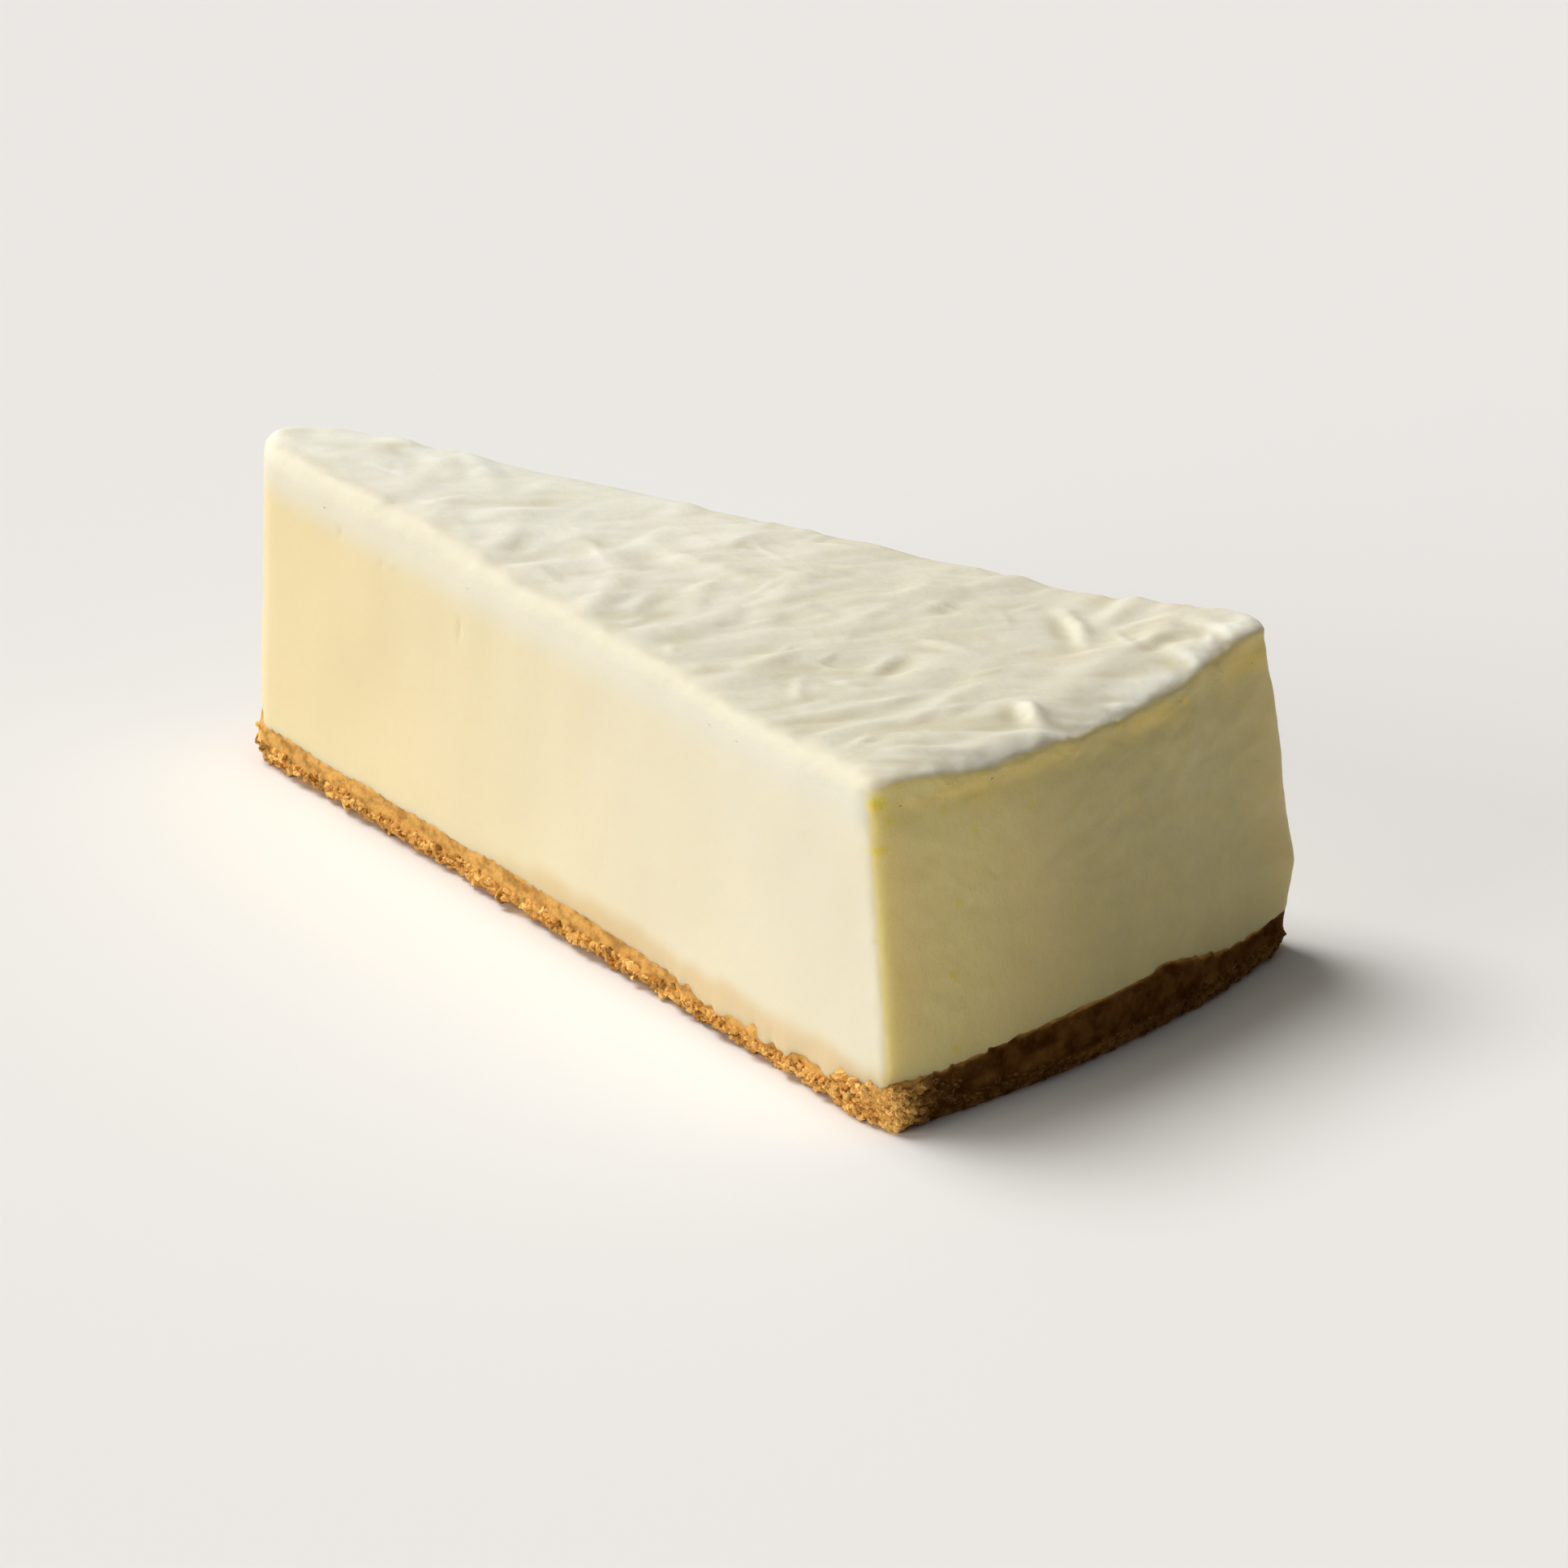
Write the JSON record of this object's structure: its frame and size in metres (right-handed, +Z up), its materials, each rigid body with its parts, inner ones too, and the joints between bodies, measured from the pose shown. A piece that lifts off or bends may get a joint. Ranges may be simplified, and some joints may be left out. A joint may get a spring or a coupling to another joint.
{
  "type": "cheesecake slice",
  "caption": "Slice of baked cheesecake: a blunt-tipped wedge with a crumb base, a pale cheese filling and a knife-spread cream topping.",
  "frame": {"origin": "centre of the slice's bounding box in plan, on the plane it rests on", "axes": "+X from the blunt tip towards the rim along the slice's middle, +Y towards the cut that the picture hides, +Z up"},
  "size_m": [0.1178, 0.0658, 0.0373],
  "materials": {
    "crumb": "dry pressed biscuit crumbs, golden brown and rough; matte_plastic stands in for food",
    "filling": "smooth baked cream cheese, pale yellow with a soft sheen; matte_plastic stands in for food",
    "topping": "spread cream, off-white and softly glossy, with knife marks; matte_plastic stands in for food"
  },
  "bodies": {
    "root": {"crumb_base": "crumb", "cheese_filling": "filling", "cream_topping": "topping"}
  },
  "joints": []
}
